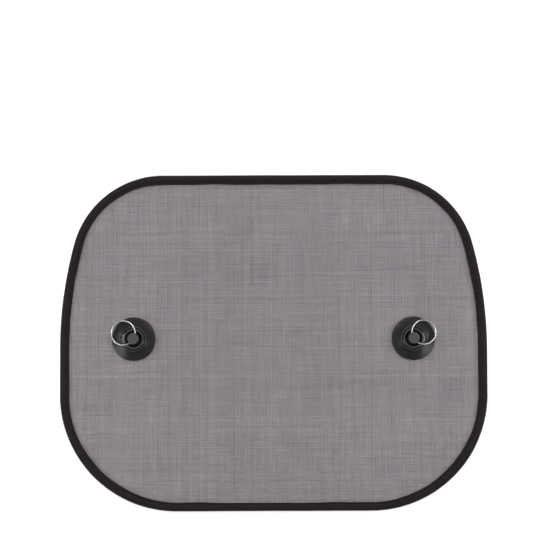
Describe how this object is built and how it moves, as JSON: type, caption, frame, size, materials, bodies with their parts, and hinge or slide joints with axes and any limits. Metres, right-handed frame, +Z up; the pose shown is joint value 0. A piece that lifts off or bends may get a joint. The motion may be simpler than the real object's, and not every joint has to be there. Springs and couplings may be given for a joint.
{
  "type": "car side window sunshade",
  "caption": "Twist-fold side window sunshade: dark mesh cloth in a bound spring steel hoop, with suction cups on split rings.",
  "frame": {"origin": "under the middle of the outline, on the surface that the shade lies on", "axes": "+X to the shade's right and +Y to its top edge as it is looked at, +Z up out of the cloth"},
  "size_m": [0.44, 0.346, 0.0168],
  "materials": {
    "mesh_cloth": "fine open mesh, matt, see-through",
    "binding_tape": "woven tape, dull, sewn",
    "spring_steel": "drawn wire",
    "cup_vinyl": "moulded soft vinyl, glossy",
    "ring_plating": "nickel-plated wire, bright"
  },
  "bodies": {
    "shade": {"mesh_panel": "mesh_cloth", "edge_binding": "binding_tape", "spring_hoop": "spring_steel", "hoop_ferrule": "spring_steel", "left_suction_cup": "cup_vinyl", "right_suction_cup": "cup_vinyl"},
    "left_ring": {"left_split_ring": "ring_plating"},
    "right_ring": {"right_split_ring": "ring_plating"}
  },
  "joints": [
    {"name": "left_ring_swing", "type": "hinge", "parent": "shade", "child": "left_ring", "pos_m": [-0.144, 0.0035, 0.01188], "axis": [0.5, 0.866, 0], "range_deg": [0, 158]},
    {"name": "right_ring_swing", "type": "hinge", "parent": "shade", "child": "right_ring", "pos_m": [0.144, 0.0035, 0.01188], "axis": [0.5, -0.866, 0], "range_deg": [0, 158]}
  ]
}
